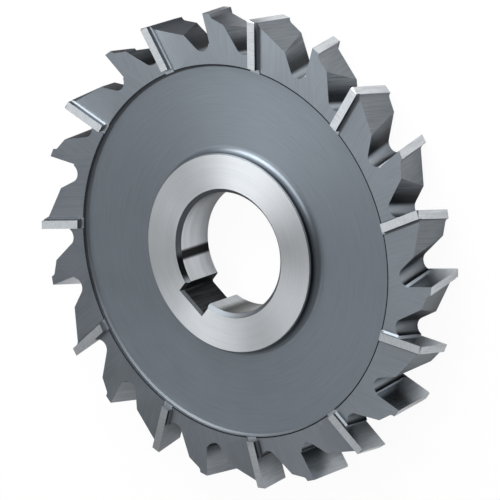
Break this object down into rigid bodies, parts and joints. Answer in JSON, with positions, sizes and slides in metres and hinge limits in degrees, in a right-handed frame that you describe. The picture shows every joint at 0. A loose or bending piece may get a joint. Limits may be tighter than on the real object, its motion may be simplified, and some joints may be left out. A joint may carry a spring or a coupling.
{
  "type": "side and face milling cutter",
  "caption": "Disc milling cutter with staggered teeth that cut on the rim and both sides, a recessed web, a raised hub and a keyed bore.",
  "frame": {"origin": "centre of the lower hub face, on the surface that the cutter lies on", "axes": "+Z along the bore axis, up; the keyway lies towards -Y"},
  "size_m": [0.1242, 0.125, 0.0143],
  "materials": {
    "ground_steel": "ground bright on the hub faces, bore, lands and rake faces, fine turned satin on the web and rim"
  },
  "bodies": {
    "root": {"side_and_face_cutter": "ground_steel"}
  },
  "joints": []
}
